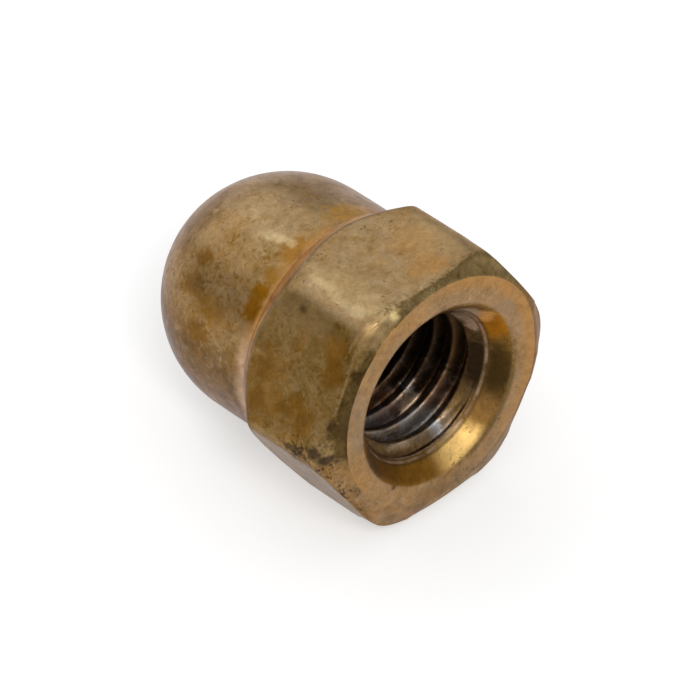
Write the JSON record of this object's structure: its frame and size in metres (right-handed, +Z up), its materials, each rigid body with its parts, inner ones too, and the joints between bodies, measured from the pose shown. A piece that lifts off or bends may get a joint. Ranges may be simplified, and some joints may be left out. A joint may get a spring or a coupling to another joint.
{
  "type": "domed cap nut",
  "caption": "Domed hexagon cap nut in aged brass with a blind tapped hole, lying on one flat and its dome.",
  "frame": {"origin": "middle of the footprint, on the surface that the nut lies on", "axes": "+Z up; the nut's own axis lies in the XZ plane, with the mouth towards +X and tipped up by 5.78 degrees, because the nut rests on the rear edge of one flat and on its dome; two flats are square to the XZ plane"},
  "size_m": [0.0106, 0.0092, 0.0083],
  "materials": {
    "aged_brass": "satin, handled and tarnished"
  },
  "bodies": {
    "root": {"cap_nut": "aged_brass"}
  },
  "joints": []
}
